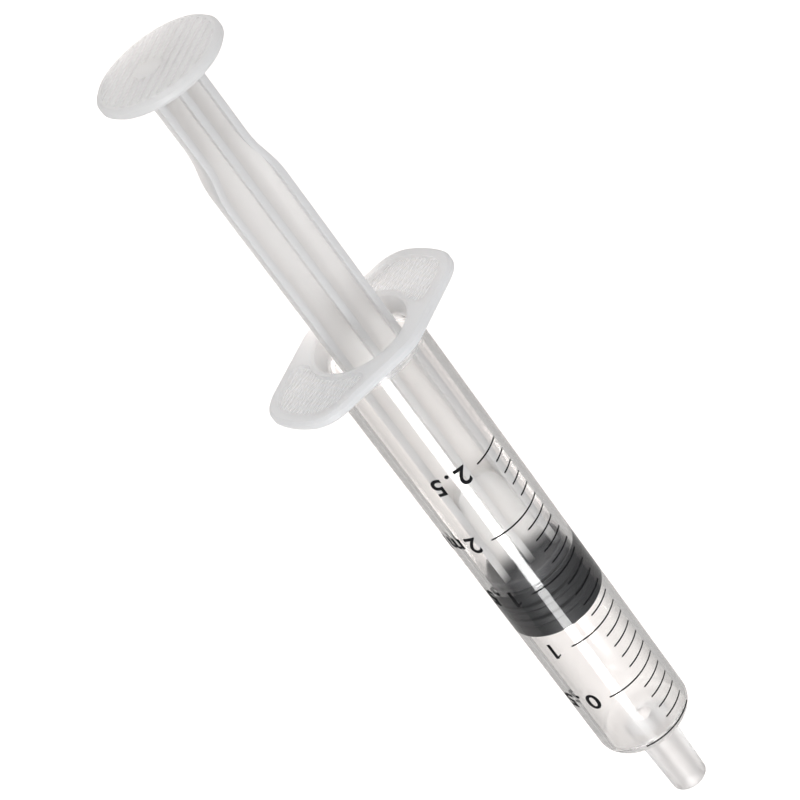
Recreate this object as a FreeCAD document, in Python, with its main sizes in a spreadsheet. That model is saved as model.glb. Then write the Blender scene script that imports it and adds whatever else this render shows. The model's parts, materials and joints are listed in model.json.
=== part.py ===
import FreeCAD, Part
import math
import os

import Sketcher

# Disposable syringe, 2 ml with a scale to 2.5 ml, in three moulded pieces and a printed scale.
# Each piece is drawn upright on its own Z axis, from the tip up to the thumb disc, with
# local X along the flange's long axis. The barrel's Z = 0 is the 0 ml line.
# The finished pieces then lie down: their Z becomes the part's +X, and one straight
# edge of the flange rests on Z = 0.

os.makedirs("parts", exist_ok=True)
doc = FreeCAD.newDocument("disposable_syringe")

# Driving sizes, millimetres and degrees, and the values worked out from them

SIZES = [
    ("barrel_outer_radius", "5.25", "outside of the barrel"),
    ("barrel_wall", "0.8", "wall of the barrel"),
    ("bore_radius", "=barrel_outer_radius - barrel_wall", "bore that the stopper runs in"),
    ("bore_end_gap", "0.1", "bore beyond the 0 ml line, so that the stopper never touches the end"),
    ("front_wall", "1.1", "thickness of the barrel's closed front"),
    ("front_z", "=-bore_end_gap - front_wall", "outside of the front"),
    ("bore_end_z", "=-bore_end_gap", "end of the bore"),
    ("shoulder_radius", "1.3", "rounding of the barrel's front"),
    ("tip_length", "10", "Luer tip, from the front"),
    ("tip_end_radius", "1.975", "small end of the Luer tip"),
    ("tip_taper", "0.06", "Luer taper on diameter"),
    ("tip_edge_cut", "0.35", "bevel of the tip's end"),
    ("tip_root_cut", "0.3", "slope where the tip leaves the front"),
    ("channel_radius", "0.9", "channel through the tip"),
    ("tip_end_z", "=front_z - tip_length", "end of the tip"),
    ("tip_base_radius", "=tip_end_radius + tip_length * tip_taper / 2", "large end of the Luer tip"),
    ("flange_top_z", "56.4", "finger flange, its upper face"),
    ("flange_thickness", "1.1", "finger flange"),
    ("flange_bottom_z", "=flange_top_z - flange_thickness", "finger flange, its lower face"),
    ("flange_half_length", "11.4", "end arcs of the flange, about the barrel's axis"),
    ("flange_edge_distance", "7.3", "straight edges of the flange, from the barrel's axis"),
    ("flange_edge_angle", "15.6", "slope of the straight edges"),
    ("flange_corner_radius", "3.9", "corners at the ends"),
    ("flange_middle_radius", "5.3", "rounding at the middle of each long side"),
    ("flange_edge_cut", "0.3", "bevel of the flange's upper and lower edge"),
    ("flange_rim_width", "1.15", "raised border round each finger recess"),
    ("recess_depth", "0.5", "finger recess in each wing"),
    ("ridge_height", "0.08", "fine ridges on the floor of each recess"),
    ("ridge_pitch", "0.5", "ridge to ridge"),
    ("ridge_gap", "0.24", "groove between two ridges"),
    ("recess_start", "4.6", "side of each finger recess that is next to the mouth"),
    ("recess_corner_radius", "0.8", "inner corners of the recess"),
    ("mouth_ring_radius", "5.6", "raised ring round the mouth"),
    ("mouth_radius", "5.07", "flared mouth of the bore"),
    ("mouth_depth", "1.6", "length of the flare"),
    ("mouth_edge_cut", "0.2", "bevel of the mouth"),
    ("bead_height", "0.12", "retaining bead inside the bore"),
    ("bead_width", "0.5", "half the bead's length"),
    ("bead_depth", "2.6", "bead, below the flange's upper face"),
    ("step_volume", "100", "cubic millimetres from one scale line to the next"),
    ("scale_pitch", "=step_volume / (pi * bore_radius * bore_radius)", "scale line to scale line"),
    ("last_line", "25", "number of the 2.5 ml line, counted from 0"),
    ("long_line_step", "5", "every fifth line is long"),
    ("last_full_line", "20", "number of the 2 ml line, above which the lines are short"),
    ("line_width", "0.17", "printed line"),
    ("ink_thickness", "0.03", "printed ink"),
    ("scale_start_angle", "118.2", "right ends of all lines, from local X"),
    ("line_angle", "37.6", "arc of a 0.1 ml line"),
    ("short_line_angle", "19.9", "arc of a line above 2 ml"),
    ("long_line_angle", "75.3", "arc of a 0.5 ml line"),
    ("last_line_angle", "39.5", "arc of the 2.5 ml line"),
    ("stopper_position", "17.9", "front of the stopper, from the 0 ml line"),
    ("stopper_clearance", "0.03", "ribs of the stopper in the bore"),
    ("stopper_radius", "=bore_radius - stopper_clearance", "sealing ribs"),
    ("stopper_groove_depth", "0.45", "grooves between the ribs"),
    ("stopper_front_rib", "1.8", "front rib, along the axis"),
    ("stopper_front_groove", "1", "groove behind the front rib"),
    ("stopper_middle_rib", "1.1", "middle rib"),
    ("stopper_rear_groove", "0.8", "groove behind the middle rib"),
    ("stopper_rear_rib", "1.8", "rear rib"),
    ("groove_radius", "=stopper_radius - stopper_groove_depth", "bottom of the grooves"),
    ("rib_1_end", "=stopper_front_rib", "along the stopper"),
    ("rib_2_start", "=rib_1_end + stopper_front_groove", "along the stopper"),
    ("rib_2_end", "=rib_2_start + stopper_middle_rib", "along the stopper"),
    ("rib_3_start", "=rib_2_end + stopper_rear_groove", "along the stopper"),
    ("stopper_length", "=rib_3_start + stopper_rear_rib", "along the stopper"),
    ("rib_edge_cut", "0.25", "bevel of the ribs"),
    ("head_front", "2.6", "front of the rod's head, from the stopper's front"),
    ("head_length", "2", "head of the rod inside the stopper"),
    ("head_radius", "2.5", "head of the rod"),
    ("head_nose_radius", "1.9", "front of the head, which leads it in"),
    ("neck_radius", "1.5", "neck behind the head"),
    ("head_clearance", "0.06", "head and neck in the stopper's cavity"),
    ("head_back", "=head_front + head_length", "back of the head"),
    ("cavity_front", "=head_front - head_clearance", "stopper's cavity"),
    ("cavity_back", "=head_back + head_clearance", "stopper's cavity"),
    ("cavity_radius", "=head_radius + head_clearance", "stopper's cavity"),
    ("cavity_nose_radius", "=head_nose_radius + head_clearance", "stopper's cavity"),
    ("cavity_neck_radius", "=neck_radius + head_clearance", "stopper's cavity"),
    ("push_plate_gap", "0.1", "push plate behind the stopper"),
    ("push_plate_thickness", "1.2", "push plate of the rod"),
    ("push_plate_clearance", "0.25", "push plate in the bore"),
    ("push_plate_radius", "=bore_radius - push_plate_clearance", "push plate of the rod"),
    ("push_plate_front", "=stopper_length + push_plate_gap", "along the rod"),
    ("push_plate_back", "=push_plate_front + push_plate_thickness", "along the rod"),
    ("plunger_length", "72.25", "stopper's front to the top of the thumb disc"),
    ("disc_radius", "6.4", "thumb disc"),
    ("disc_thickness", "1.2", "thumb disc"),
    ("disc_edge_cut", "0.35", "bevel of the disc"),
    ("disc_bottom", "=plunger_length - disc_thickness", "along the rod"),
    ("grip_radius", "5.75", "ribbed field of the thumb disc"),
    ("grip_depth", "0.22", "grooves between the disc's ribs"),
    ("grip_floor", "=plunger_length - grip_depth", "bottom of the grooves, along the rod"),
    ("grip_pitch", "1", "rib to rib"),
    ("grip_rib", "0.5", "width of a rib"),
    ("grip_angle", "45", "slope of the ribs, from the rod's local X"),
    ("grip_count", "=2 * floor(grip_radius / grip_pitch) + 1", "ribs across the disc"),
    ("grip_run", "=(grip_count - 1) * grip_pitch", "first rib to last"),
    ("grip_first_out", "=(grip_run + grip_rib) / 2", "outer side of the first rib"),
    ("grip_first_in", "=(grip_run - grip_rib) / 2", "inner side of the first rib"),
    ("patch_radius", "1.4", "plain patch in the ribbed field"),
    ("patch_x", "0.9", "middle of the plain patch, along the rod's local X"),
    ("rod_half_width", "3.2", "outside of the side walls along the bore"),
    ("rod_step", "0.7", "how far the side walls draw in towards the thumb disc"),
    ("neck_half_width", "=rod_half_width - rod_step", "outside of the side walls below the disc"),
    ("side_wall", "0.65", "thickness of the side walls"),
    ("rod_turn", "-22.9", "turn of the rod about its axis, from the flange's long axis"),
    ("rod_depth", "5.3", "depth of the side walls and of the centre rib"),
    ("rod_half_depth", "=rod_depth / 2", "to one side of the web's middle"),
    ("web_thickness", "0.7", "web that joins the side walls"),
    ("rib_thickness", "0.68", "centre rib across the web"),
    ("rib_half_thickness", "=rib_thickness / 2", "to one side of the rib's middle"),
    ("bend_length", "5.6", "stretch in which the side walls draw in"),
    ("bend_end", "63", "end of that stretch, along the rod"),
    ("bend_start", "=bend_end - bend_length", "along the rod"),
    ("bend_middle", "=bend_end - bend_length / 2", "along the rod"),
    ("bend_middle_x", "=rod_half_width - rod_step / 2", "outside of the side wall at the middle"),
    ("bend_radius", "=(bend_length * bend_length + rod_step * rod_step) / (4 * rod_step)", "each bend"),
    ("wall_foot_x", "=rod_half_width - side_wall", "inside of the side walls along the bore"),
    ("wall_neck_x", "=neck_half_width - side_wall", "inside of the side walls below the disc"),
    ("wall_middle_x", "=bend_middle_x - side_wall", "inside of the side wall at the middle"),
    ("web_foot_x", "=rod_half_width - side_wall / 2", "edge of the web along the bore"),
    ("web_neck_x", "=neck_half_width - side_wall / 2", "edge of the web below the disc"),
    ("web_middle_x", "=bend_middle_x - side_wall / 2", "edge of the web at the middle"),
    ("arch_spring", "16.8", "height at which the arched block starts to round, along the rod"),
    ("arch_round", "2.4", "rounding of the arched block"),
    ("arch_flat_x", "=wall_foot_x - arch_round", "end of the arch's rounding"),
    ("arch_top", "=arch_spring + arch_round", "along the rod"),
    ("arch_depth", "3.4", "depth of the block"),
    ("flange_corner_run", "=sqrt(flange_half_length^2 - flange_edge_distance^2)", "along a straight edge"),
    ("flange_corner_x", "=flange_edge_distance * sin(flange_edge_angle)"
     " + flange_corner_run * cos(flange_edge_angle)", "corner of the flange before rounding"),
    ("flange_corner_y", "=flange_edge_distance * cos(flange_edge_angle)"
     " - flange_corner_run * sin(flange_edge_angle)", "corner of the flange before rounding"),
    ("flange_middle_y", "=flange_edge_distance / cos(flange_edge_angle)", "middle before rounding"),
    ("recess_half_length", "=flange_half_length - flange_rim_width", "end arc of the recess"),
    ("recess_edge_distance", "=flange_edge_distance - flange_rim_width", "long edge of the recess"),
    ("recess_corner_run", "=sqrt(recess_half_length^2 - recess_edge_distance^2)", "along its edge"),
    ("recess_corner_x", "=recess_edge_distance * sin(flange_edge_angle)"
     " + recess_corner_run * cos(flange_edge_angle)", "outer corner of the recess"),
    ("recess_corner_y", "=recess_edge_distance * cos(flange_edge_angle)"
     " - recess_corner_run * sin(flange_edge_angle)", "outer corner of the recess"),
    ("recess_inner_y", "=(recess_edge_distance - recess_start * sin(flange_edge_angle))"
     " / cos(flange_edge_angle)", "inner corner of the recess"),
    ("recess_ring_y", "=sqrt(mouth_ring_radius^2 - recess_start^2)", "where it meets the ring"),
    ("recess_round", "=flange_corner_radius - flange_rim_width", "outer corners of the recess"),
    ("recess_floor", "=flange_top_z - recess_depth", "floor of the recess"),
    ("ridge_top", "=recess_floor + ridge_height", "top of the ridges"),
    ("ridge_groove_count", "=2 * floor(recess_inner_y / ridge_pitch) + 1", "grooves across a wing"),
    ("ridge_run", "=(ridge_groove_count - 1) * ridge_pitch", "first groove to last"),
    ("ridge_first_out", "=(ridge_run + ridge_gap) / 2", "outer side of the first groove"),
    ("ridge_first_in", "=(ridge_run - ridge_gap) / 2", "inner side of the first groove"),
    ("bead_z", "=flange_top_z - bead_depth", "middle of the bead"),
    ("bead_low_z", "=bead_z - bead_width", "lower end of the bead"),
    ("bead_high_z", "=bead_z + bead_width", "upper end of the bead"),
    ("bead_inner_radius", "=bore_radius - bead_height", "crest of the bead"),
    ("mouth_start_z", "=flange_top_z - mouth_depth", "lower end of the flare"),
    ("middle_z", "=(stopper_position + plunger_length + tip_end_z) / 2", "middle of the whole syringe"),
]

sheet = doc.addObject("Spreadsheet::Sheet", "sizes")
for row, (alias, text, note) in enumerate(SIZES, start=1):
    sheet.set("A%d" % row, alias)
    sheet.set("B%d" % row, text)
    sheet.set("C%d" % row, note)
    sheet.setAlias("B%d" % row, alias)
doc.recompute()


def size(name):
    # a value of the sheet, with an optional minus sign in front of its name
    if name == "0":
        return 0.0
    if name.startswith("-"):
        return -float(sheet.get(name[1:]))
    return float(sheet.get(name))


def cell(name):
    # the same value as an expression that follows the sheet
    if name.startswith("-"):
        return "-sizes." + name[1:]
    return "sizes." + name


# Sketches and features

def new_body(label):
    body = doc.addObject("PartDesign::Body", label)
    body.Label = label
    return body


def new_sketch(body, name, role, height=None, turn=None):
    sketch = body.newObject("Sketcher::SketchObject", name)
    plane = [item for item in body.Origin.OriginFeatures if item.Role == role][0]
    sketch.AttachmentSupport = [(plane, "")]
    sketch.MapMode = "FlatFace"
    if turn:
        upright = FreeCAD.Rotation(FreeCAD.Vector(0, 0, 1), size(turn))
        sketch.AttachmentOffset = FreeCAD.Placement(FreeCAD.Vector(0, 0, 0), upright)
        sketch.setExpression("AttachmentOffset.Rotation.Angle", cell(turn))
    if height:
        sketch.setExpression("AttachmentOffset.Base.z", cell(height))
    return sketch


def pin_point(sketch, item, end, x_name, y_name):
    # holds one end of a line or arc at two values of the sheet
    if x_name == "0":
        sketch.addConstraint(Sketcher.Constraint("PointOnObject", item, end, -2))
    else:
        number = sketch.addConstraint(
            Sketcher.Constraint("DistanceX", -1, 1, item, end, size(x_name)))
        sketch.setExpression("Constraints[%d]" % number, cell(x_name))
    if y_name == "0":
        sketch.addConstraint(Sketcher.Constraint("PointOnObject", item, end, -1))
    else:
        number = sketch.addConstraint(
            Sketcher.Constraint("DistanceY", -1, 1, item, end, size(y_name)))
        sketch.setExpression("Constraints[%d]" % number, cell(y_name))


def arc_between(start, finish, radius, clockwise):
    # the shorter arc of that radius from start to finish
    chord = finish.sub(start)
    middle = start.add(finish).multiply(0.5)
    rise = math.sqrt(max(0, radius * radius - chord.Length * chord.Length / 4))
    side = FreeCAD.Vector(-chord.y, chord.x, 0).normalize().multiply(rise)
    centre = middle.sub(side) if clockwise else middle.add(side)
    circle = Part.Circle(centre, FreeCAD.Vector(0, 0, 1), radius)
    if clockwise:
        start, finish = finish, start
    return Part.ArcOfCircle(circle, circle.parameter(start), circle.parameter(finish))


def closed_outline(sketch, corners):
    # corners: (x, y) for a line to the next corner, or (x, y, radius, turn) for an arc to it
    ends = []
    for number, corner in enumerate(corners):
        after = corners[(number + 1) % len(corners)]
        start = FreeCAD.Vector(size(corner[0]), size(corner[1]), 0)
        finish = FreeCAD.Vector(size(after[0]), size(after[1]), 0)
        if len(corner) == 2:
            item = sketch.addGeometry(Part.LineSegment(start, finish))
            ends.append((item, 1, 2))
        else:
            clockwise = corner[3] == "clockwise"
            arc = arc_between(start, finish, size(corner[2]), clockwise)
            item = sketch.addGeometry(arc)
            held = sketch.addConstraint(Sketcher.Constraint("Radius", item, size(corner[2])))
            sketch.setExpression("Constraints[%d]" % held, cell(corner[2]))
            ends.append((item, 2, 1) if clockwise else (item, 1, 2))
    for number, (item, first, last) in enumerate(ends):
        before = ends[number - 1]
        sketch.addConstraint(Sketcher.Constraint("Coincident", before[0], before[2], item, first))
        pin_point(sketch, item, first, corners[number][0], corners[number][1])


def revolve(body, name, corners):
    sketch = new_sketch(body, name + "_profile", "XZ_Plane")
    closed_outline(sketch, corners)
    feature = body.newObject("PartDesign::Revolution", name)
    feature.Profile = sketch
    feature.ReferenceAxis = (sketch, ["V_Axis"])
    feature.Angle = 360
    doc.recompute()
    return feature


def revolve_cut(body, name, corners):
    sketch = new_sketch(body, name + "_profile", "XZ_Plane")
    closed_outline(sketch, corners)
    before = body.Shape.Volume
    feature = body.newObject("PartDesign::Groove", name)
    feature.Profile = sketch
    feature.ReferenceAxis = (sketch, ["V_Axis"])
    feature.Angle = 360
    doc.recompute()
    if body.Shape.Volume >= before:
        raise RuntimeError(name + " cuts nothing")
    return feature


def pad_both_ways(body, name, corners, depth):
    # a pad of a front outline, as deep on one side of the axis as on the other
    sketch = new_sketch(body, name + "_outline", "XZ_Plane")
    closed_outline(sketch, corners)
    feature = body.newObject("PartDesign::Pad", name)
    feature.Profile = sketch
    feature.SideType = "Symmetric"
    feature.setExpression("Length", cell(depth))
    doc.recompute()
    return feature


def edge_names(name, base, test):
    edges = ["Edge%d" % number for number, edge in enumerate(base.Shape.Edges, start=1)
             if test(edge)]
    if not edges:
        raise RuntimeError(name + " found no edge")
    return edges


def fillet(body, name, base, test, radius):
    # rounds the edges of the base that pass the test
    feature = body.newObject("PartDesign::Fillet", name)
    feature.Base = (base, edge_names(name, base, test))
    feature.setExpression("Radius", cell(radius))
    doc.recompute()
    return feature


def chamfer(body, name, base, test, cut):
    # bevels the edges of the base that pass the test
    feature = body.newObject("PartDesign::Chamfer", name)
    feature.Base = (base, edge_names(name, base, test))
    feature.setExpression("Size", cell(cut))
    doc.recompute()
    return feature


def cut_rows(body, name, sketch, depth, run, count):
    # pockets the sketch and repeats it along the sketch's own vertical
    first = body.newObject("PartDesign::Pocket", name)
    first.Profile = sketch
    first.setExpression("Length", cell(depth))
    doc.recompute()
    rows = body.newObject("PartDesign::LinearPattern", name + "_rows")
    rows.Originals = [first]
    rows.Direction = (sketch, ["V_Axis"])
    rows.setExpression("Length", cell(run))
    rows.setExpression("Occurrences", cell(count))
    body.Tip = rows
    doc.recompute()
    return rows


def combine(body, name, kind, tool):
    # joins or cuts the body with another one that was drawn as its tool
    feature = body.newObject("PartDesign::Boolean", name)
    feature.Type = kind
    feature.setObjects([tool])
    body.Tip = feature
    doc.recompute()
    return feature


def negated(name):
    if name == "0":
        return name
    return name[1:] if name.startswith("-") else "-" + name


def turned_half(corners):
    # the same outline on the other side of the axis
    return [(negated(corner[0]), negated(corner[1])) + tuple(corner[2:]) for corner in corners]


def near(first, second):
    return abs(first - second) < 1e-4


def ring_edge(radius, height):
    # a test for the circular edge of that radius at that height
    def test(edge):
        box = edge.BoundBox
        return near(box.ZMin, size(height)) and near(box.ZMax, size(height)) \
            and near(box.XMax, size(radius)) and isinstance(edge.Curve, Part.Circle)
    return test


def upright_edge(x_name, y_name):
    # a test for the upright edges at that distance from both planes
    def test(edge):
        box = edge.BoundBox
        return near(box.XLength, 0) and near(box.YLength, 0) \
            and near(abs(box.Center.x), size(x_name)) and near(abs(box.Center.y), size(y_name))
    return test


# Barrel: one clear moulding with the Luer tip and the finger flange

barrel = new_body("barrel")
shell = revolve(barrel, "barrel_outside", [
    ("0", "tip_end_z"), ("tip_end_radius", "tip_end_z"), ("tip_base_radius", "front_z"),
    ("barrel_outer_radius", "front_z"), ("barrel_outer_radius", "flange_top_z"),
    ("0", "flange_top_z")])
shoulder = fillet(barrel, "shoulder", shell, ring_edge("barrel_outer_radius", "front_z"),
                  "shoulder_radius")
tip_root = chamfer(barrel, "tip_root", shoulder, ring_edge("tip_base_radius", "front_z"),
                   "tip_root_cut")
tip_edge = chamfer(barrel, "tip_edge", tip_root, ring_edge("tip_end_radius", "tip_end_z"),
                   "tip_edge_cut")

flange_sketch = new_sketch(barrel, "flange_outline", "XY_Plane", "flange_bottom_z")
closed_outline(flange_sketch, [
    ("flange_corner_x", "-flange_corner_y", "flange_half_length", "counterclockwise"),
    ("flange_corner_x", "flange_corner_y"), ("0", "flange_middle_y"),
    ("-flange_corner_x", "flange_corner_y", "flange_half_length", "counterclockwise"),
    ("-flange_corner_x", "-flange_corner_y"), ("0", "-flange_middle_y")])
flange = barrel.newObject("PartDesign::Pad", "flange")
flange.Profile = flange_sketch
flange.setExpression("Length", cell("flange_thickness"))
doc.recompute()
flange_corners = fillet(barrel, "flange_corners", flange,
                        upright_edge("flange_corner_x", "flange_corner_y"), "flange_corner_radius")
flange_middles = fillet(barrel, "flange_middles", flange_corners,
                        upright_edge("0", "flange_middle_y"), "flange_middle_radius")


def flange_rim(edge):
    box = edge.BoundBox
    level = near(box.ZMin, box.ZMax)
    at_face = near(box.ZMin, size("flange_bottom_z")) or near(box.ZMin, size("flange_top_z"))
    from_axis = math.hypot(edge.CenterOfMass.x, edge.CenterOfMass.y)
    return level and at_face and from_axis > size("barrel_outer_radius")


flange_edges = chamfer(barrel, "flange_edges", flange_middles, flange_rim, "flange_edge_cut")

wing = [
    ("recess_corner_x", "-recess_corner_y", "recess_half_length", "counterclockwise"),
    ("recess_corner_x", "recess_corner_y"), ("recess_start", "recess_inner_y"),
    ("recess_start", "recess_ring_y", "mouth_ring_radius", "clockwise"),
    ("recess_start", "-recess_ring_y"), ("recess_start", "-recess_inner_y")]
recess_sketch = new_sketch(barrel, "recess_outline", "XY_Plane", "flange_top_z")
closed_outline(recess_sketch, wing)
closed_outline(recess_sketch, turned_half(wing))
recess = barrel.newObject("PartDesign::Pocket", "recess")
recess.Profile = recess_sketch
recess.setExpression("Length", cell("recess_depth"))
doc.recompute()
recess_ends = fillet(barrel, "recess_ends", recess,
                     upright_edge("recess_corner_x", "recess_corner_y"), "recess_round")
recess_corners = fillet(barrel, "recess_corners", recess_ends,
                        upright_edge("recess_start", "recess_inner_y"), "recess_corner_radius")

# Grip ridges: a low floor in both recesses, cut into fine ridges along the flange

ridges = new_body("grip_ridges")
floor_sketch = new_sketch(ridges, "ridge_floor", "XY_Plane", "recess_floor")
closed_outline(floor_sketch, wing)
closed_outline(floor_sketch, turned_half(wing))
ridge_floor = ridges.newObject("PartDesign::Pad", "ridge_block")
ridge_floor.Profile = floor_sketch
ridge_floor.setExpression("Length", cell("ridge_height"))
doc.recompute()
groove_sketch = new_sketch(ridges, "ridge_groove", "XY_Plane", "ridge_top")
closed_outline(groove_sketch, [
    ("flange_half_length", "-ridge_first_out"), ("flange_half_length", "-ridge_first_in"),
    ("-flange_half_length", "-ridge_first_in"), ("-flange_half_length", "-ridge_first_out")])
cut_rows(ridges, "ridge_grooves", groove_sketch, "ridge_height", "ridge_run", "ridge_groove_count")
ridged = combine(barrel, "ridged_recess", "Fuse", ridges)

bore = revolve_cut(barrel, "bore", [
    ("0", "tip_end_z"), ("channel_radius", "tip_end_z"), ("channel_radius", "bore_end_z"),
    ("bore_radius", "bore_end_z"), ("bore_radius", "bead_low_z"), ("bead_inner_radius", "bead_z"),
    ("bore_radius", "bead_high_z"), ("bore_radius", "mouth_start_z"),
    ("mouth_radius", "flange_top_z"), ("0", "flange_top_z")])
mouth_edge = chamfer(barrel, "mouth_edge", bore, ring_edge("mouth_radius", "flange_top_z"),
                     "mouth_edge_cut")

# Stopper: black rubber with three sealing ribs, hollow for the head of the rod

stopper = new_body("stopper")
rubber = revolve(stopper, "stopper_outside", [
    ("0", "0"), ("stopper_radius", "0"), ("stopper_radius", "rib_1_end"),
    ("groove_radius", "rib_1_end"), ("groove_radius", "rib_2_start"),
    ("stopper_radius", "rib_2_start"), ("stopper_radius", "rib_2_end"),
    ("groove_radius", "rib_2_end"), ("groove_radius", "rib_3_start"),
    ("stopper_radius", "rib_3_start"), ("stopper_radius", "stopper_length"),
    ("0", "stopper_length")])


def rib_edge(edge):
    box = edge.BoundBox
    return near(box.ZLength, 0) and near(box.XMax, size("stopper_radius"))


ribs = chamfer(stopper, "rib_edges", rubber, rib_edge, "rib_edge_cut")
revolve_cut(stopper, "head_cavity", [
    ("0", "cavity_front"), ("cavity_nose_radius", "cavity_front"),
    ("cavity_radius", "cavity_back"), ("cavity_neck_radius", "cavity_back"),
    ("cavity_neck_radius", "stopper_length"), ("0", "stopper_length")])

# Plunger rod: one milky moulding from the head in the stopper to the thumb disc

rod = new_body("plunger_rod")
head = revolve(rod, "head_and_push_plate", [
    ("0", "head_front"), ("head_nose_radius", "head_front"), ("head_radius", "head_back"),
    ("neck_radius", "head_back"), ("neck_radius", "push_plate_front"),
    ("push_plate_radius", "push_plate_front"), ("push_plate_radius", "push_plate_back"),
    ("0", "push_plate_back")])
web = pad_both_ways(rod, "web", [
    ("web_foot_x", "push_plate_back"),
    ("web_foot_x", "bend_start", "bend_radius", "counterclockwise"),
    ("web_middle_x", "bend_middle", "bend_radius", "clockwise"),
    ("web_neck_x", "bend_end"), ("web_neck_x", "disc_bottom"),
    ("-web_neck_x", "disc_bottom"),
    ("-web_neck_x", "bend_end", "bend_radius", "clockwise"),
    ("-web_middle_x", "bend_middle", "bend_radius", "counterclockwise"),
    ("-web_foot_x", "bend_start"), ("-web_foot_x", "push_plate_back")], "web_thickness")
side = pad_both_ways(rod, "side_wall", [
    ("rod_half_width", "push_plate_back"),
    ("rod_half_width", "bend_start", "bend_radius", "counterclockwise"),
    ("bend_middle_x", "bend_middle", "bend_radius", "clockwise"),
    ("neck_half_width", "bend_end"), ("neck_half_width", "disc_bottom"),
    ("wall_neck_x", "disc_bottom"),
    ("wall_neck_x", "bend_end", "bend_radius", "counterclockwise"),
    ("wall_middle_x", "bend_middle", "bend_radius", "clockwise"),
    ("wall_foot_x", "bend_start"), ("wall_foot_x", "push_plate_back")], "rod_depth")
side_pair = rod.newObject("PartDesign::Mirrored", "side_wall_pair")
side_pair.Originals = [side]
side_pair.MirrorPlane = (side.Profile[0], ["V_Axis"])
rod.Tip = side_pair
doc.recompute()

rib_sketch = new_sketch(rod, "centre_rib_section", "XY_Plane", "push_plate_back")
closed_outline(rib_sketch, [
    ("rib_half_thickness", "-rod_half_depth"), ("rib_half_thickness", "rod_half_depth"),
    ("-rib_half_thickness", "rod_half_depth"), ("-rib_half_thickness", "-rod_half_depth")])
centre_rib = rod.newObject("PartDesign::Pad", "centre_rib")
centre_rib.Profile = rib_sketch
centre_rib.setExpression("Length", cell("disc_bottom") + " - " + cell("push_plate_back"))
doc.recompute()

arch = pad_both_ways(rod, "arched_block", [
    ("web_foot_x", "push_plate_back"), ("web_foot_x", "arch_spring"),
    ("wall_foot_x", "arch_spring", "arch_round", "counterclockwise"),
    ("arch_flat_x", "arch_top"),
    ("-arch_flat_x", "arch_top", "arch_round", "counterclockwise"),
    ("-wall_foot_x", "arch_spring"), ("-web_foot_x", "arch_spring"),
    ("-web_foot_x", "push_plate_back")], "arch_depth")
disc = revolve(rod, "thumb_disc", [
    ("0", "disc_bottom"), ("disc_radius", "disc_bottom"), ("disc_radius", "plunger_length"),
    ("0", "plunger_length")])


def disc_edge(edge):
    box = edge.BoundBox
    return near(box.ZLength, 0) and near(box.XMax, size("disc_radius"))


disc_edges = chamfer(rod, "disc_edges", disc, disc_edge, "disc_edge_cut")

# Grooves of the thumb disc: a shallow round field, less its ribs and a plain patch

grip = new_body("disc_grooves")
revolve(grip, "grip_field", [
    ("0", "grip_floor"), ("grip_radius", "grip_floor"), ("grip_radius", "plunger_length"),
    ("0", "plunger_length")])
rib_row = new_sketch(grip, "grip_rib_outline", "XY_Plane", "plunger_length", "grip_angle")
closed_outline(rib_row, [
    ("disc_radius", "-grip_first_out"), ("disc_radius", "-grip_first_in"),
    ("-disc_radius", "-grip_first_in"), ("-disc_radius", "-grip_first_out")])
cut_rows(grip, "grip_ribs", rib_row, "grip_depth", "grip_run", "grip_count")
patch_sketch = new_sketch(grip, "patch_outline", "XY_Plane", "plunger_length")
patch_circle = patch_sketch.addGeometry(Part.Circle(
    FreeCAD.Vector(size("patch_x"), 0, 0), FreeCAD.Vector(0, 0, 1), size("patch_radius")))
held = patch_sketch.addConstraint(Sketcher.Constraint("Radius", patch_circle, size("patch_radius")))
patch_sketch.setExpression("Constraints[%d]" % held, cell("patch_radius"))
pin_point(patch_sketch, patch_circle, 3, "patch_x", "0")
patch = grip.newObject("PartDesign::Pocket", "plain_patch")
patch.Profile = patch_sketch
patch.setExpression("Length", cell("grip_depth"))
grip.Tip = patch
doc.recompute()
combine(rod, "ribbed_disc", "Cut", grip)

# Printed scale: 26 thin arcs of ink on the barrel, spaced by the volume of the bore


def scale_line(number):
    if number == size("last_line"):
        sweep = size("last_line_angle")
    elif number % size("long_line_step") == 0:
        sweep = size("long_line_angle")
    elif number > size("last_full_line"):
        sweep = size("short_line_angle")
    else:
        sweep = size("line_angle")
    width = size("line_width")
    base = FreeCAD.Vector(0, 0, number * size("scale_pitch") - width / 2)
    along = FreeCAD.Vector(0, 0, 1)
    inside = size("barrel_outer_radius")
    outside = inside + size("ink_thickness")
    line = Part.makeCylinder(outside, width, base, along, sweep)
    line = line.cut(Part.makeCylinder(inside, width, base, along, sweep))
    line.rotate(FreeCAD.Vector(0, 0, 0), along, size("scale_start_angle") - sweep)
    return line


scale = doc.addObject("Part::Feature", "scale_lines")
scale.Label = "scale_lines"
scale.Shape = Part.makeCompound([scale_line(number) for number in range(int(size("last_line")) + 1)])

# The pieces lie down: local Z along +X, a straight edge of the flange down

laid_down = FreeCAD.Rotation(FreeCAD.Vector(1, 0, 0), size("flange_edge_angle")).multiply(
    FreeCAD.Rotation(FreeCAD.Vector(1, 1, 1), 120))
rod_turned = laid_down.multiply(FreeCAD.Rotation(FreeCAD.Vector(0, 0, 1), size("rod_turn")))
pieces = [barrel, scale, stopper, rod]
for piece in pieces:
    turn = rod_turned if piece == rod else laid_down
    piece.Placement = FreeCAD.Placement(FreeCAD.Vector(0, 0, 0), turn)
    along = "-" + cell("middle_z")
    if piece in (stopper, rod):
        along = cell("stopper_position") + " - " + cell("middle_z")
    piece.setExpression("Placement.Base.x", along)
    piece.setExpression("Placement.Base.z", cell("flange_edge_distance"))

# Checks and export

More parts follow.
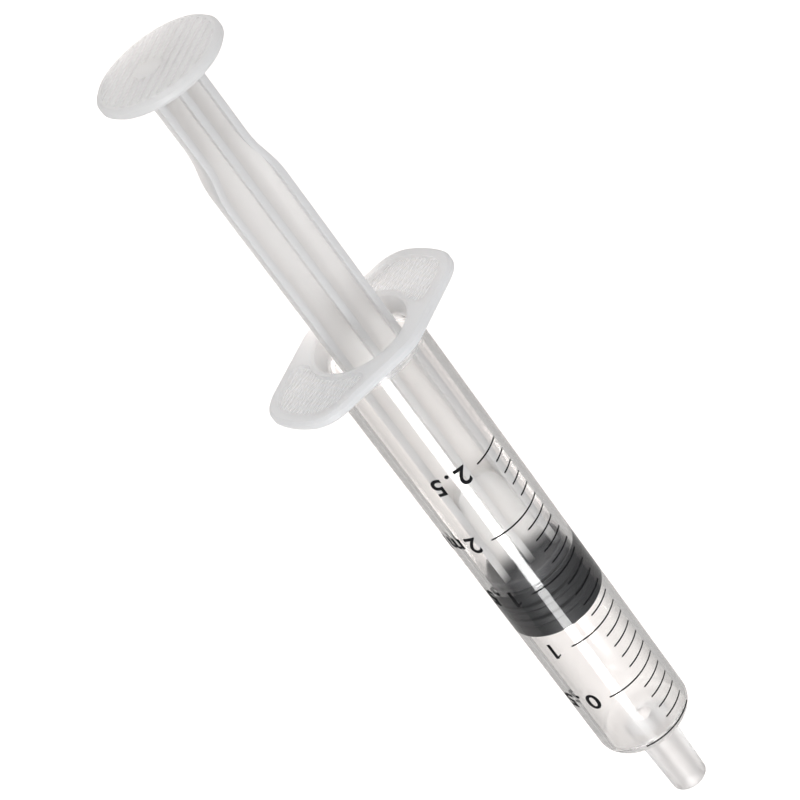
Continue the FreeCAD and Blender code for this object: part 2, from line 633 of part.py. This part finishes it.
doc.recompute()
for item in doc.Objects:
    if "Invalid" in item.State or "Error" in item.State:
        raise RuntimeError("%s failed: %s" % (item.Label, item.State))
for piece in pieces:
    if piece.Shape.isNull() or not piece.Shape.isValid():
        raise RuntimeError(piece.Label + " has no valid shape")
    piece.Shape.exportStep("parts/%s.step" % piece.Label)
    box = piece.Shape.BoundBox
    print("%s: %d solids, %.1f mm3, X %.2f to %.2f, Y %.2f to %.2f, Z %.2f to %.2f" % (
        piece.Label, len(piece.Shape.Solids), piece.Shape.Volume,
        box.XMin, box.XMax, box.YMin, box.YMax, box.ZMin, box.ZMax))
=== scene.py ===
# Disposable syringe with a clear barrel: its looks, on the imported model.
import json
import math

import bpy
from mathutils import Matrix, Vector

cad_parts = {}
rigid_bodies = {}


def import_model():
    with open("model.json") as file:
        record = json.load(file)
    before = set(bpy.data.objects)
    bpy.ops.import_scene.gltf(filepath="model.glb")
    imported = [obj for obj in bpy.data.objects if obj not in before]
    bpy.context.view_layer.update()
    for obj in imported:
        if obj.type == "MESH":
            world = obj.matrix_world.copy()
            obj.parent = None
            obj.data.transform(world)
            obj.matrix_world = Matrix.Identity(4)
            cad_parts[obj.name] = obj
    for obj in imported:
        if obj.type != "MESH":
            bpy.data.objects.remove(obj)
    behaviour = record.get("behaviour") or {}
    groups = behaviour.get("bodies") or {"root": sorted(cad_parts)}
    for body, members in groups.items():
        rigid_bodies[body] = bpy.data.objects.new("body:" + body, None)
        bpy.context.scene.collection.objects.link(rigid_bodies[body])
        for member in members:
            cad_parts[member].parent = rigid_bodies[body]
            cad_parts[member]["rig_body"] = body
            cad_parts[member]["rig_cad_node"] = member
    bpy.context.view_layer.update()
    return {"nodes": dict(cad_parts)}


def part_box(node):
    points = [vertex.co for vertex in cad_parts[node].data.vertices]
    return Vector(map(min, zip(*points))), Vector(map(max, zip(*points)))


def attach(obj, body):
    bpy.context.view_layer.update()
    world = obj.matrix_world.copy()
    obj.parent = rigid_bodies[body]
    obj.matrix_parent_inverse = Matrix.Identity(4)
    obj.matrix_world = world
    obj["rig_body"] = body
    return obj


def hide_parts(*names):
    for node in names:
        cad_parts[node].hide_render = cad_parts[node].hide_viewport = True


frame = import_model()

mm = 0.001
# vertices nearer than mergeWithin, in metres, become one; edges sharper than sharpFrom are
# rounded, and edges blunter than smoothBelow are shaded smooth
mergeWithin = 0.000002
sharpFrom = math.radians(40)
smoothBelow = math.radians(35)

# The syringe lies along X. Across it run acrossLow, to the picture's lower left, and acrossTop,
# towards the camera.
cameraTurn = math.radians(12.3)
along = Vector((1, 0, 0))
acrossLow = Vector((0, math.cos(cameraTurn), -math.sin(cameraTurn)))
acrossTop = Vector((0, math.sin(cameraTurn), math.cos(cameraTurn)))


def direction(shares):
    # a direction from its shares of along, acrossLow and acrossTop
    return shares[0] * along + shares[1] * acrossLow + shares[2] * acrossTop


def hexColour(code):
    # sRGB hex to the linear values that Blender's colour sockets take
    parts = [int(code[i:i + 2], 16) / 255 for i in (1, 3, 5)]
    return tuple(p / 12.92 if p < 0.04045 else ((p + 0.055) / 1.055) ** 2.4 for p in parts) + (1,)


def grey(value):
    return (value, value, value, 1)


def newMaterial(name):
    material = bpy.data.materials.new(name)
    material.use_nodes = True
    material.node_tree.nodes.clear()
    return material, material.node_tree


def addNode(tree, kind, settings):
    # Sets a node's inputs and options, and links each input whose value is another node's socket.
    # A number in place of a name picks an input by its place, where two share a name.
    node = tree.nodes.new(kind)
    for name, value in settings.items():
        if isinstance(value, bpy.types.NodeSocket):
            tree.links.new(value, node.inputs[name])
        elif isinstance(name, int) or name in node.inputs:
            node.inputs[name].default_value = value
        else:
            setattr(node, name, value)
    return node


def between(tree, value, start, finish, low=0.0, high=1.0, smooth=False):
    # goes from low to high while the value goes from start to finish; each may be a socket
    return addNode(tree, "ShaderNodeMapRange", {
        "Value": value, "From Min": start, "From Max": finish, "To Min": low, "To Max": high,
        "interpolation_type": "SMOOTHSTEP" if smooth else "LINEAR"}).outputs["Result"]


def blend(tree, share, low, high):
    # low where the share is 0, and high where it is 1
    return between(tree, share, 0.0, 1.0, low, high)


def calculate(tree, operation, *terms):
    settings = {"operation": operation}
    settings.update(enumerate(terms))
    return addNode(tree, "ShaderNodeMath", settings).outputs["Value"]


def distanceFrom(tree, value, middle):
    return calculate(tree, "ABSOLUTE", calculate(tree, "SUBTRACT", value, middle))


def separate(tree, vector):
    return addNode(tree, "ShaderNodeSeparateXYZ", {"Vector": vector}).outputs


def millimetrePoints(tree, stretch=(1, 1, 1)):
    # object coordinates, so that a scale of 1 is one repeat per stretch, in millimetres
    place = addNode(tree, "ShaderNodeTexCoord", {}).outputs["Object"]
    return addNode(tree, "ShaderNodeMapping", {
        "Scale": [1 / mm / s for s in stretch], "Vector": place}).outputs["Vector"]


def noise(tree, stretch, detail):
    return addNode(tree, "ShaderNodeTexNoise", {
        "Scale": 1.0, "Detail": detail, "Vector": millimetrePoints(tree, stretch)}).outputs["Fac"]


def relief(tree, pattern, height):
    return addNode(tree, "ShaderNodeBump", {
        "Strength": 1.0, "Distance": height * mm, "Height": pattern}).outputs["Normal"]


def rampBetween(tree, pattern, low, high):
    # turns a noise, most of which lies between 0.3 and 0.7, into a range of two colours or greys
    ramp = addNode(tree, "ShaderNodeValToRGB", {"Fac": pattern})
    for element, position, colour in zip(ramp.color_ramp.elements, (0.3, 0.7), (low, high)):
        element.position = position
        element.color = colour
    return ramp.outputs["Color"]


def colourRange(tree, pattern, look):
    return rampBetween(tree, pattern, hexColour(look["colourLow"]), hexColour(look["colourHigh"]))


def roughRange(tree, pattern, look):
    return rampBetween(tree, pattern, grey(look["roughLow"]), grey(look["roughHigh"]))


def tint(tree, share, colour, code):
    return addNode(tree, "ShaderNodeMixRGB", {
        "Fac": share, "Color1": colour, "Color2": hexColour(code)}).outputs["Color"]


def deselectAll():
    bpy.ops.object.select_all(action="DESELECT")


def activate(piece):
    deselectAll()
    piece.select_set(True)
    bpy.context.view_layer.objects.active = piece


def applyAll(piece):
    activate(piece)
    for modifier in list(piece.modifiers):
        bpy.ops.object.modifier_apply(modifier=modifier.name)


def keepPlaceInMesh(piece):
    activate(piece)
    bpy.ops.object.transform_apply(location=True, rotation=True, scale=True)


def roundEdges(piece, width, steps):
    # rounds the sharp edges, as a mould leaves them, and shades what is blunter smooth
    rounding = piece.modifiers.new("edges", "BEVEL")
    rounding.width = width * mm
    rounding.segments = steps
    rounding.limit_method = "ANGLE"
    rounding.angle_limit = sharpFrom
    applyAll(piece)
    bpy.ops.object.shade_smooth_by_angle(angle=smoothBelow)


def dress(piece, material):
    piece.data.materials.clear()
    piece.data.materials.append(material)


def axisHeight():
    # the syringe's axis above the floor
    low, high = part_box("stopper")
    return (low.z + high.z) / 2


# the camera, the floor and the light: in metres, but in millimetres for the camera's place, lens
# and sensor, and for where the strip and the line of light lie
studio = {
    "cameraPlace": (145.225, 47.50, 221.91),
    # directions are shares of along, acrossLow and acrossTop
    "cameraRight": (-0.50916, -0.80019, 0.31696),
    "cameraUp": (0.67932, -0.59975, -0.42288),
    "cameraBack": (0.52848, 0.0, 0.84895),
    "lens": 123.8,
    "sensorWidth": 36,
    "clipStart": 0.01,
    "floorSize": 6.0,
    "floorHeight": -0.00002,
    "floorColour": "#A0A09E",
    "floorRoughness": 0.6,
    "floorShine": 0.2,
    "floorGlow": 0.98,
    "glowColour": "#FFFAF8",
    "stripMiddle": -2.2,
    "stripHalfWidth": 3.5,
    "stripGlow": 0.82,
    "sideFrom": 9.0,
    "sideGlow": 0.22,
    # a brighter line under the rod, most of all under its thick arch
    "lineMiddle": -0.7,
    "lineHalfWidth": 2.3,
    "lineFade": 1.4,
    "lineFrom": -19.0,
    "lineTo": 50.0,
    "lineUnderArch": 6.0,
    "archFrom": -8.0,
    "archTo": -4.0,
    "lineInBarrel": 2.0,
    "lineStep": 16.0,
    "lineBehind": 0.4,
    # the sky by how high one looks, and a pale wall beyond the tip, which the clear tip gathers
    "skyColour": "#E9EAED",
    "skyFrom": -0.1,
    "skyTo": 0.9,
    "skyLow": 0.35,
    "skyHigh": 0.85,
    "tipWallFrom": -0.7,
    "tipWallFull": -0.9,
    "tipWall": 0.2,
    # the place that all lamps point at
    "lampsAround": (-0.01, 0, 0.0073),
    # name, direction, distance, size, power and colour
    "softboxes": [
        # its mirror image is the long white streak on the barrel
        ("keySoftbox", (-0.528, 0.262, 0.808), 0.9, (0.26, 0.28), 2.5, "#FFFFFF"),
        ("fillSoftbox", (0.35, -0.85, 0.55), 1.1, (0.5, 0.7), 0.2, "#FFF4EE"),
        # for the faces that look back along the syringe: the thumb disc and the flange
        ("endSoftbox", (0.88, 0.1, 0.45), 0.6, (0.4, 0.3), 0.65, "#FFFFFF"),
    ],
}


def buildCamera():
    camera = bpy.data.objects.new("camera", bpy.data.cameras.new("camera"))
    bpy.context.scene.collection.objects.link(camera)
    camera.data.lens = studio["lens"]
    camera.data.sensor_width = studio["sensorWidth"]
    camera.data.clip_start = studio["clipStart"]
    axes = [direction(studio[name]) for name in ("cameraRight", "cameraUp", "cameraBack")]
    place = Vector(studio["cameraPlace"]) * mm
    camera.matrix_world = Matrix.Translation(place) @ Matrix(axes).transposed().to_4x4()
    bpy.context.scene.camera = camera


def buildFloor():
    # Opal acrylic, lit from below: even and almost white to look at. What shines up into the
    # syringe is a strip along it, as when clear ware is photographed, so its edges turn grey.
    material, tree = newMaterial("opalAcrylicTable")
    place = separate(tree, millimetrePoints(tree))
    strip = between(tree, distanceFrom(tree, place["Y"], studio["stripMiddle"]),
                    studio["stripHalfWidth"], studio["sideFrom"],
                    studio["stripGlow"], studio["sideGlow"], smooth=True)
    fade = studio["lineFade"]
    inBarrel = between(tree, place["X"], studio["archFrom"], studio["archTo"],
                       studio["lineUnderArch"], studio["lineInBarrel"])
    strength = between(tree, place["X"], studio["lineStep"] - fade, studio["lineStep"],
                       inBarrel, studio["lineBehind"])
    narrow = between(tree, distanceFrom(tree, place["Y"], studio["lineMiddle"]),
                     studio["lineHalfWidth"] + fade, studio["lineHalfWidth"], high=strength)
    started = between(tree, place["X"], studio["lineFrom"], studio["lineFrom"] + fade, high=narrow)
    line = between(tree, place["X"], studio["lineTo"], studio["lineTo"] - fade, high=started)
    rays = addNode(tree, "ShaderNodeLightPath", {})
    glow = blend(tree, rays.outputs["Is Camera Ray"], calculate(tree, "ADD", strip, line),
                 studio["floorGlow"])
    surface = addNode(tree, "ShaderNodeBsdfPrincipled", {
        "Base Color": hexColour(studio["floorColour"]), "Roughness": studio["floorRoughness"],
        "Specular IOR Level": studio["floorShine"],
        "Emission Color": hexColour(studio["glowColour"]), "Emission Strength": glow})
    addNode(tree, "ShaderNodeOutputMaterial", {"Surface": surface.outputs["BSDF"]})
    bpy.ops.mesh.primitive_plane_add(size=studio["floorSize"],
                                     location=(0, 0, studio["floorHeight"]))
    floor = bpy.context.object
    floor.name = "floor"
    dress(floor, material)


def buildWorld():
    world = bpy.data.worlds.new("studioRoom")
    world.use_nodes = True
    tree = world.node_tree
    tree.nodes.clear()
    towards = separate(tree, addNode(tree, "ShaderNodeTexCoord", {}).outputs["Generated"])
    height = between(tree, towards["Z"], studio["skyFrom"], studio["skyTo"],
                     studio["skyLow"], studio["skyHigh"])
    wall = between(tree, towards["X"], studio["tipWallFrom"], studio["tipWallFull"],
                   high=studio["tipWall"])
    sky = addNode(tree, "ShaderNodeBackground", {
        "Color": hexColour(studio["skyColour"]), "Strength": calculate(tree, "ADD", height, wall)})
    addNode(tree, "ShaderNodeOutputWorld", {"Surface": sky.outputs["Background"]})
    bpy.context.scene.world = world


def hangSoftbox(name, shares, distance, size, power, colour):
    lamp = bpy.data.lights.new(name, "AREA")
    lamp.shape = "RECTANGLE"
    lamp.size, lamp.size_y = size
    lamp.energy = power
    lamp.color = hexColour(colour)[:3]
    holder = bpy.data.objects.new(name, lamp)
    bpy.context.scene.collection.objects.link(holder)
    towards = direction(shares).normalized()
    side = along.cross(towards).normalized()
    length = towards.cross(side).normalized()
    turn = Matrix((side, length, towards)).transposed().to_4x4()
    spot = Vector(studio["lampsAround"]) + towards * distance
    holder.matrix_world = Matrix.Translation(spot) @ turn


bpy.context.scene.view_settings.view_transform = "Standard"
buildCamera()
buildFloor()
buildWorld()
for entry in studio["softboxes"]:
    hangSoftbox(*entry)
print("studio ready")


# the materials
clearPlastic = {
    "colour": "#FBFAF9",
    "ior": 1.49,
    "clearInTube": 0.995,
    "clearInFlange": 0.06,
    "lampShade": 0.06,
    "lampsInTip": 0.7,
    "roughInTube": 0.08,
    "roughInTip": 0.45,
    "roughInFlange": 0.5,
    "glowDepth": 2.5,
    "glowSpread": (1, 0.96, 0.93),
    "coat": 0.1,
    "coatRoughness": 0.05,
    "flangeFrom": 13.9,
    "flangeFull": 15.9,
    "tipFrom": -39.2,
    "tipFull": -39.55,
    "flowLength": 9.0,
    "flowWidth": 1.6,
    "flowHeight": 0.004,
    "flowDetail": 2.0,
}
milkyPlastic = {
    "colourLow": "#E6E5E3",
    "colourHigh": "#ECEBE9",
    "ior": 1.49,
    "clearness": 0.06,
    "glow": 1.0,
    "glowDepth": 5.0,
    "glowSpread": (1, 0.98, 0.97),
    "dimming": 10,
    "dimColour": "#8F8D8B",
    # painted light: the whiter colour painted on the rod towards its head end, and where it starts
    # and is full
    "paintedLightColour": "#F1F0EE",
    "paintedLightFrom": 13.0,
    "paintedLightFull": -2.0,
    # painted shade and reflection: where the rod is painted dark next to the rubber, and the dark
    # colour
    "paintedDarkFrom": -14.2,
    "paintedDarkTo": -10.8,
    "paintedRubberDark": "#2C2C2F",
    "roughLow": 0.34,
    "roughHigh": 0.44,
    "cloud": (7, 3, 3),
    "cloudDetail": 2.0,
    "grain": 0.35,
    "grainHeight": 0.006,
    "grainDetail": 3.0,
}
rubberFinish = {
    "colourLow": "#09090B",
    "colourHigh": "#131316",
    "ior": 1.52,
    "roughLow": 0.36,
    "roughHigh": 0.5,
    "grain": 0.12,
    "grainHeight": 0.004,
    "grainDetail": 3.0,
}
printInk = {
    "colourLow": "#0B0B0D",
    "colourHigh": "#1B1B1E",
    "ior": 1.5,
    "roughness": 0.7,
    "shine": 0.15,
    "speckle": 0.09,
    "speckleDetail": 2.0,
}


def makeClearPlastic():
    # Clear polypropylene, injection moulded and polished: the thin tube is almost like glass, the
    # thick flange turns milky, the tip is frosted, and faint flow waves let reflections swim.
    look = clearPlastic
    material, tree = newMaterial("clearPolypropyleneMoulded")
    flow = noise(tree, (look["flowLength"], look["flowWidth"], look["flowWidth"]),
                 look["flowDetail"])
    place = separate(tree, millimetrePoints(tree))
    flange = between(tree, place["X"], look["flangeFrom"], look["flangeFull"])
    tip = between(tree, place["X"], look["tipFrom"], look["tipFull"])
    # the tip stays clear inside, as milkiness would swallow the light that it guides
    clearness = blend(tree, flange, look["clearInTube"], look["clearInFlange"])
    roughAhead = blend(tree, tip, look["roughInTube"], look["roughInTip"])
    roughness = blend(tree, flange, roughAhead, look["roughInFlange"])
    # light from a lamp is let straight through the wall, where the path tracer would lose it
    rays = addNode(tree, "ShaderNodeLightPath", {})
    openness = blend(tree, tip, clearness, look["lampsInTip"])
    letIn = calculate(tree, "MULTIPLY", rays.outputs["Is Shadow Ray"], openness)
    surface = addNode(tree, "ShaderNodeBsdfPrincipled", {
        "Base Color": hexColour(look["colour"]), "IOR": look["ior"], "Roughness": roughness,
        "Transmission Weight": clearness, "Alpha": blend(tree, letIn, 1.0, look["lampShade"]),
        "Subsurface Weight": 1.0, "Subsurface Radius": look["glowSpread"],
        "Subsurface Scale": look["glowDepth"] * mm,
        "Coat Weight": look["coat"], "Coat Roughness": look["coatRoughness"],
        "Normal": relief(tree, flow, look["flowHeight"])})
    addNode(tree, "ShaderNodeOutputMaterial", {"Surface": surface.outputs["BSDF"]})
    return material


def makeMilkyPlastic():
    # Natural polypropylene, injection moulded: thin walls let the light through, thick ones turn
    # grey, and the mould leaves a satin skin. Towards its head end the rod is painted whiter. This
    # is painted light, standing in for the light that the barrel around it and its thick head keep
    # off.
    # The push plate and head next to the rubber are painted dark: painted shade and painted
    # reflection of the black rubber.
    look = milkyPlastic
    material, tree = newMaterial("milkyPolypropyleneMoulded")
    cloud = noise(tree, look["cloud"], look["cloudDetail"])
    grain = noise(tree, [look["grain"]] * 3, look["grainDetail"])
    place = separate(tree, millimetrePoints(tree))
    # painted light: the rod is painted whiter towards its head, where the barrel keeps lamp light
    # off
    paintedLightShare = between(tree, place["X"], look["paintedLightFrom"], look["paintedLightFull"], smooth=True)
    # painted shade and reflection of the black rubber, painted on the push plate and head
    paintedRubberDarkShare = between(tree, place["X"], look["paintedDarkTo"], look["paintedDarkFrom"], smooth=True)
    paintedLighter = tint(tree, paintedLightShare, colourRange(tree, cloud, look), look["paintedLightColour"])
    surface = addNode(tree, "ShaderNodeBsdfPrincipled", {
        "Base Color": tint(tree, paintedRubberDarkShare, paintedLighter, look["paintedRubberDark"]), "IOR": look["ior"],
        "Roughness": roughRange(tree, cloud, look), "Transmission Weight": look["clearness"],
        "Subsurface Weight": look["glow"], "Subsurface Radius": look["glowSpread"],
        "Subsurface Scale": look["glowDepth"] * mm,
        "Normal": relief(tree, grain, look["grainHeight"])})
    inside = addNode(tree, "ShaderNodeVolumeAbsorption", {
        "Color": hexColour(look["dimColour"]), "Density": look["dimming"]})
    addNode(tree, "ShaderNodeOutputMaterial", {
        "Surface": surface.outputs["BSDF"], "Volume": inside.outputs["Volume"]})
    return material


def makeRubber():
    # Black butyl rubber, compression moulded and siliconised: near black, with a soft sheen
    look = rubberFinish
    material, tree = newMaterial("blackButylRubber")
    grain = noise(tree, [look["grain"]] * 3, look["grainDetail"])
    surface = addNode(tree, "ShaderNodeBsdfPrincipled", {
        "Base Color": colourRange(tree, grain, look), "Roughness": roughRange(tree, grain, look),
        "IOR": look["ior"], "Normal": relief(tree, grain, look["grainHeight"])})
    addNode(tree, "ShaderNodeOutputMaterial", {"Surface": surface.outputs["BSDF"]})
    return material


def makeInk():
    # Screen-printed black ink: matt, a little thinner in specks
    look = printInk
    material, tree = newMaterial("blackScreenInk")
    speckle = noise(tree, [look["speckle"]] * 3, look["speckleDetail"])
    surface = addNode(tree, "ShaderNodeBsdfPrincipled", {
        "Base Color": colourRange(tree, speckle, look), "Roughness": look["roughness"],
        "IOR": look["ior"], "Specular IOR Level": look["shine"]})
    addNode(tree, "ShaderNodeOutputMaterial", {"Surface": surface.outputs["BSDF"]})
    return material


clearMaterial = makeClearPlastic()
milkyMaterial = makeMilkyPlastic()
rubberMaterial = makeRubber()
inkMaterial = makeInk()
print("materials ready")


# the stopper
stopperShape = {
    "radius": 4.453,   # the ribs press on the 4.45 mm bore, and so show black right across it
    "length": 6.5,
    "grooves": [(1.8, 2.8), (3.9, 4.7)],
    "grooveDepth": 0.45,
    "edge": 0.25,
    "edgeSteps": 4,
    "neckRadius": 1.56,
    "neckDepth": 1.84,
    "headRadius": 2.56,
    "headDepth": 2.12,
    "noseRadius": 1.96,
    "sides": 128,
    # a side face looks along the syringe less than sideFacing, and a back face more than
    # backFacing, behind backFrom
    "sideFacing": 0.5,
    "backFacing": 0.9,
    "backFrom": 6.4,
}


def chooseFaces(piece, test):
    # selects the faces whose centre and direction pass the test, in edit mode
    bpy.ops.mesh.select_all(action="DESELECT")
    bpy.ops.object.mode_set(mode="OBJECT")
    for face in piece.data.polygons:
        face.select = test(face.center, face.normal)
    bpy.ops.object.mode_set(mode="EDIT")


def extrudeAlong(distance):
    bpy.ops.mesh.extrude_region_move(TRANSFORM_OT_translate={"value": (distance, 0, 0)})


def buildStopper():
    shape = stopperShape
    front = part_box("stopper")[0].x
    height = axisHeight()
    centre = Vector((front + shape["length"] * mm / 2, 0, height))
    deselectAll()
    bpy.ops.mesh.primitive_cylinder_add(
        vertices=shape["sides"], radius=shape["radius"] * mm, depth=shape["length"] * mm,
        location=centre, rotation=(0, math.radians(90), 0))
    stopper = bpy.context.object
    stopper.name = "rubberStopper"
    keepPlaceInMesh(stopper)
    bpy.ops.object.mode_set(mode="EDIT")
    bpy.ops.mesh.select_mode(type="FACE")
    for groove in shape["grooves"]:
        for edge in groove:
            bpy.ops.mesh.select_all(action="SELECT")
            bpy.ops.mesh.bisect(plane_co=(front + edge * mm, 0, 0), plane_no=(1, 0, 0))
    for start, finish in shape["grooves"]:
        chooseFaces(stopper, lambda spot, facing: abs(facing.x) < shape["sideFacing"]
                    and front + start * mm < spot.x < front + finish * mm)
        bpy.ops.mesh.extrude_region_shrink_fatten(
            TRANSFORM_OT_shrink_fatten={"value": shape["grooveDepth"] * mm})
    # the hollow for the rod's head, from the back
    chooseFaces(stopper, lambda spot, facing: facing.x > shape["backFacing"]
                and spot.x > front + shape["backFrom"] * mm)
    bpy.ops.mesh.inset(thickness=(shape["radius"] - shape["neckRadius"]) * mm)
    extrudeAlong(-shape["neckDepth"] * mm)
    wide = shape["headRadius"] / shape["neckRadius"]
    middle = (front + (shape["length"] - shape["neckDepth"]) * mm, 0, height)
    extrudeAlong(0)
    bpy.ops.transform.resize(value=(1, wide, wide), center_override=middle)
    narrow = shape["noseRadius"] / shape["headRadius"]
    extrudeAlong(-shape["headDepth"] * mm)
    bpy.ops.transform.resize(value=(1, narrow, narrow), center_override=middle)
    bpy.ops.object.mode_set(mode="OBJECT")
    roundEdges(stopper, shape["edge"], shape["edgeSteps"])
    dress(stopper, rubberMaterial)
    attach(stopper, "stopper")
    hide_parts("stopper")


buildStopper()
print("stopper ready")


# the printed numerals
numerals = {
    "height": 2.1,
    "bolder": 0.018,
    "spacing": 1.3,
    "curveSteps": 6,
    "ink": 0.03,
    "lift": 0.002,
    "pitch": 1.6074,
    "zeroLine": -39.475,
    "barrelRadius": 5.25,
    "strip": 0.4,
    "firstStrip": -1,
    "lastStrip": 15,
    "flagLength": 0.42,
    "flagDrop": 0.3,
    "flagThickness": 0.2,
    "flagOverlap": 0.02,
    "topFrom": 0.9,   # the stem of the 1 is measured above this share of its height
    # name, words, line of the scale, start angle and width
    "words": [
        ("half", "0.5", 5, 31.5, 0.97),
        ("one", "1", 10, 34.5, 0.9),
        ("oneAndHalf", "1.5", 15, 34.5, 0.9),
        ("two", "2ml", 20, 33.5, 0.9),
        ("twoAndHalf", "2.5", 25, -5.0, 0.9),
    ],
}


def addFlag(piece):
    # the built-in letters have a plain 1, and the printed one has a small flag at its top
    shape = numerals
    top = shape["height"] * mm
    stem = min(v.co.x for v in piece.data.vertices if v.co.y > shape["topFrom"] * top)
    length, thickness = shape["flagLength"] * mm, shape["flagThickness"] * mm
    middle = stem - length / 2
    deselectAll()
    bpy.ops.mesh.primitive_plane_add(
        size=1, location=(middle + shape["flagOverlap"] * mm, top - thickness, 0))
    flag = bpy.context.object
    flag.scale = (length, thickness, 1)
    keepPlaceInMesh(flag)
    for vertex in flag.data.vertices:
        if vertex.co.x < middle:
            vertex.co.y -= shape["flagDrop"] * mm
    activate(piece)
    flag.select_set(True)
    bpy.ops.object.join()


def flatNumeral(name, words, width):
    # a word as a flat mesh, cut into narrow strips so that it can follow the round barrel
    shape = numerals
    deselectAll()
    bpy.ops.object.text_add()
    piece = bpy.context.object
    piece.name = "numeral_" + name
    piece.data.body = words
    piece.data.resolution_u = shape["curveSteps"]
    piece.data.offset = shape["bolder"]
    piece.data.space_character = shape["spacing"]
    bpy.ops.object.convert(target="MESH")
    factor = shape["height"] * mm / max(vertex.co.y for vertex in piece.data.vertices)
    bpy.ops.object.mode_set(mode="EDIT")
    bpy.ops.mesh.select_all(action="SELECT")
    bpy.ops.transform.resize(value=(factor * width, factor, factor), center_override=(0, 0, 0))
    bpy.ops.mesh.remove_doubles(threshold=mergeWithin)
    bpy.ops.object.mode_set(mode="OBJECT")
    if words.startswith("1"):
        addFlag(piece)
    bpy.ops.object.mode_set(mode="EDIT")
    for number in range(shape["firstStrip"], shape["lastStrip"] + 1):
        bpy.ops.mesh.select_all(action="SELECT")
        bpy.ops.mesh.bisect(plane_co=(number * shape["strip"] * mm, 0, 0), plane_no=(1, 0, 0))
    bpy.ops.object.mode_set(mode="OBJECT")
    return piece


def printNumeral(name, words, line, startAngle, width):
    shape = numerals
    piece = flatNumeral(name, words, width)
    radius = shape["barrelRadius"] * mm
    axis = Vector((0, 0, axisHeight()))
    lineX = (shape["zeroLine"] + shape["pitch"] * line) * mm
    for vertex in piece.data.vertices:
        angle = math.radians(startAngle) + vertex.co.x / radius
        out = math.sin(angle) * acrossLow + math.cos(angle) * acrossTop
        place = axis + out * (radius + shape["lift"] * mm)
        place.x = lineX - (vertex.co.y - shape["height"] * mm / 2)
        vertex.co = place
    thick = piece.modifiers.new("ink", "SOLIDIFY")
    thick.thickness = shape["ink"] * mm
    thick.offset = 1
    applyAll(piece)
    dress(piece, inkMaterial)
    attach(piece, "barrel")


for entry in numerals["words"]:
    printNumeral(*entry)
print("numerals ready")


# the plunger rod
rodFinish = {
    "edge": 0.12,
    "edgeSteps": 2,
    "flatWithin": 1.0,
}


def softenedCopy(node, name, finish):
    # a merged copy of a CAD node with its hard edges rounded
    source = frame["nodes"][node]
    piece = source.copy()
    piece.data = source.data.copy()
    piece.name = name
    piece.parent = None
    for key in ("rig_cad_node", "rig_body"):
        del piece[key]
    bpy.context.scene.collection.objects.link(piece)
    activate(piece)
    bpy.ops.mesh.customdata_custom_splitnormals_clear()
    bpy.ops.object.mode_set(mode="EDIT")
    bpy.ops.mesh.select_all(action="SELECT")
    bpy.ops.mesh.remove_doubles(threshold=mergeWithin)
    bpy.ops.mesh.dissolve_limited(angle_limit=math.radians(finish["flatWithin"]))
    bpy.ops.object.mode_set(mode="OBJECT")
    roundEdges(piece, finish["edge"], finish["edgeSteps"])
    return piece


rod = softenedCopy("plunger_rod", "milkyPlungerRod", rodFinish)
dress(rod, milkyMaterial)
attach(rod, "rod")
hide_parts("plunger_rod")
print("rod ready")


# the barrel and its scale lines, which keep their own solids
dress(frame["nodes"]["barrel"], clearMaterial)
dress(frame["nodes"]["scale_lines"], inkMaterial)
print("barrel ready")
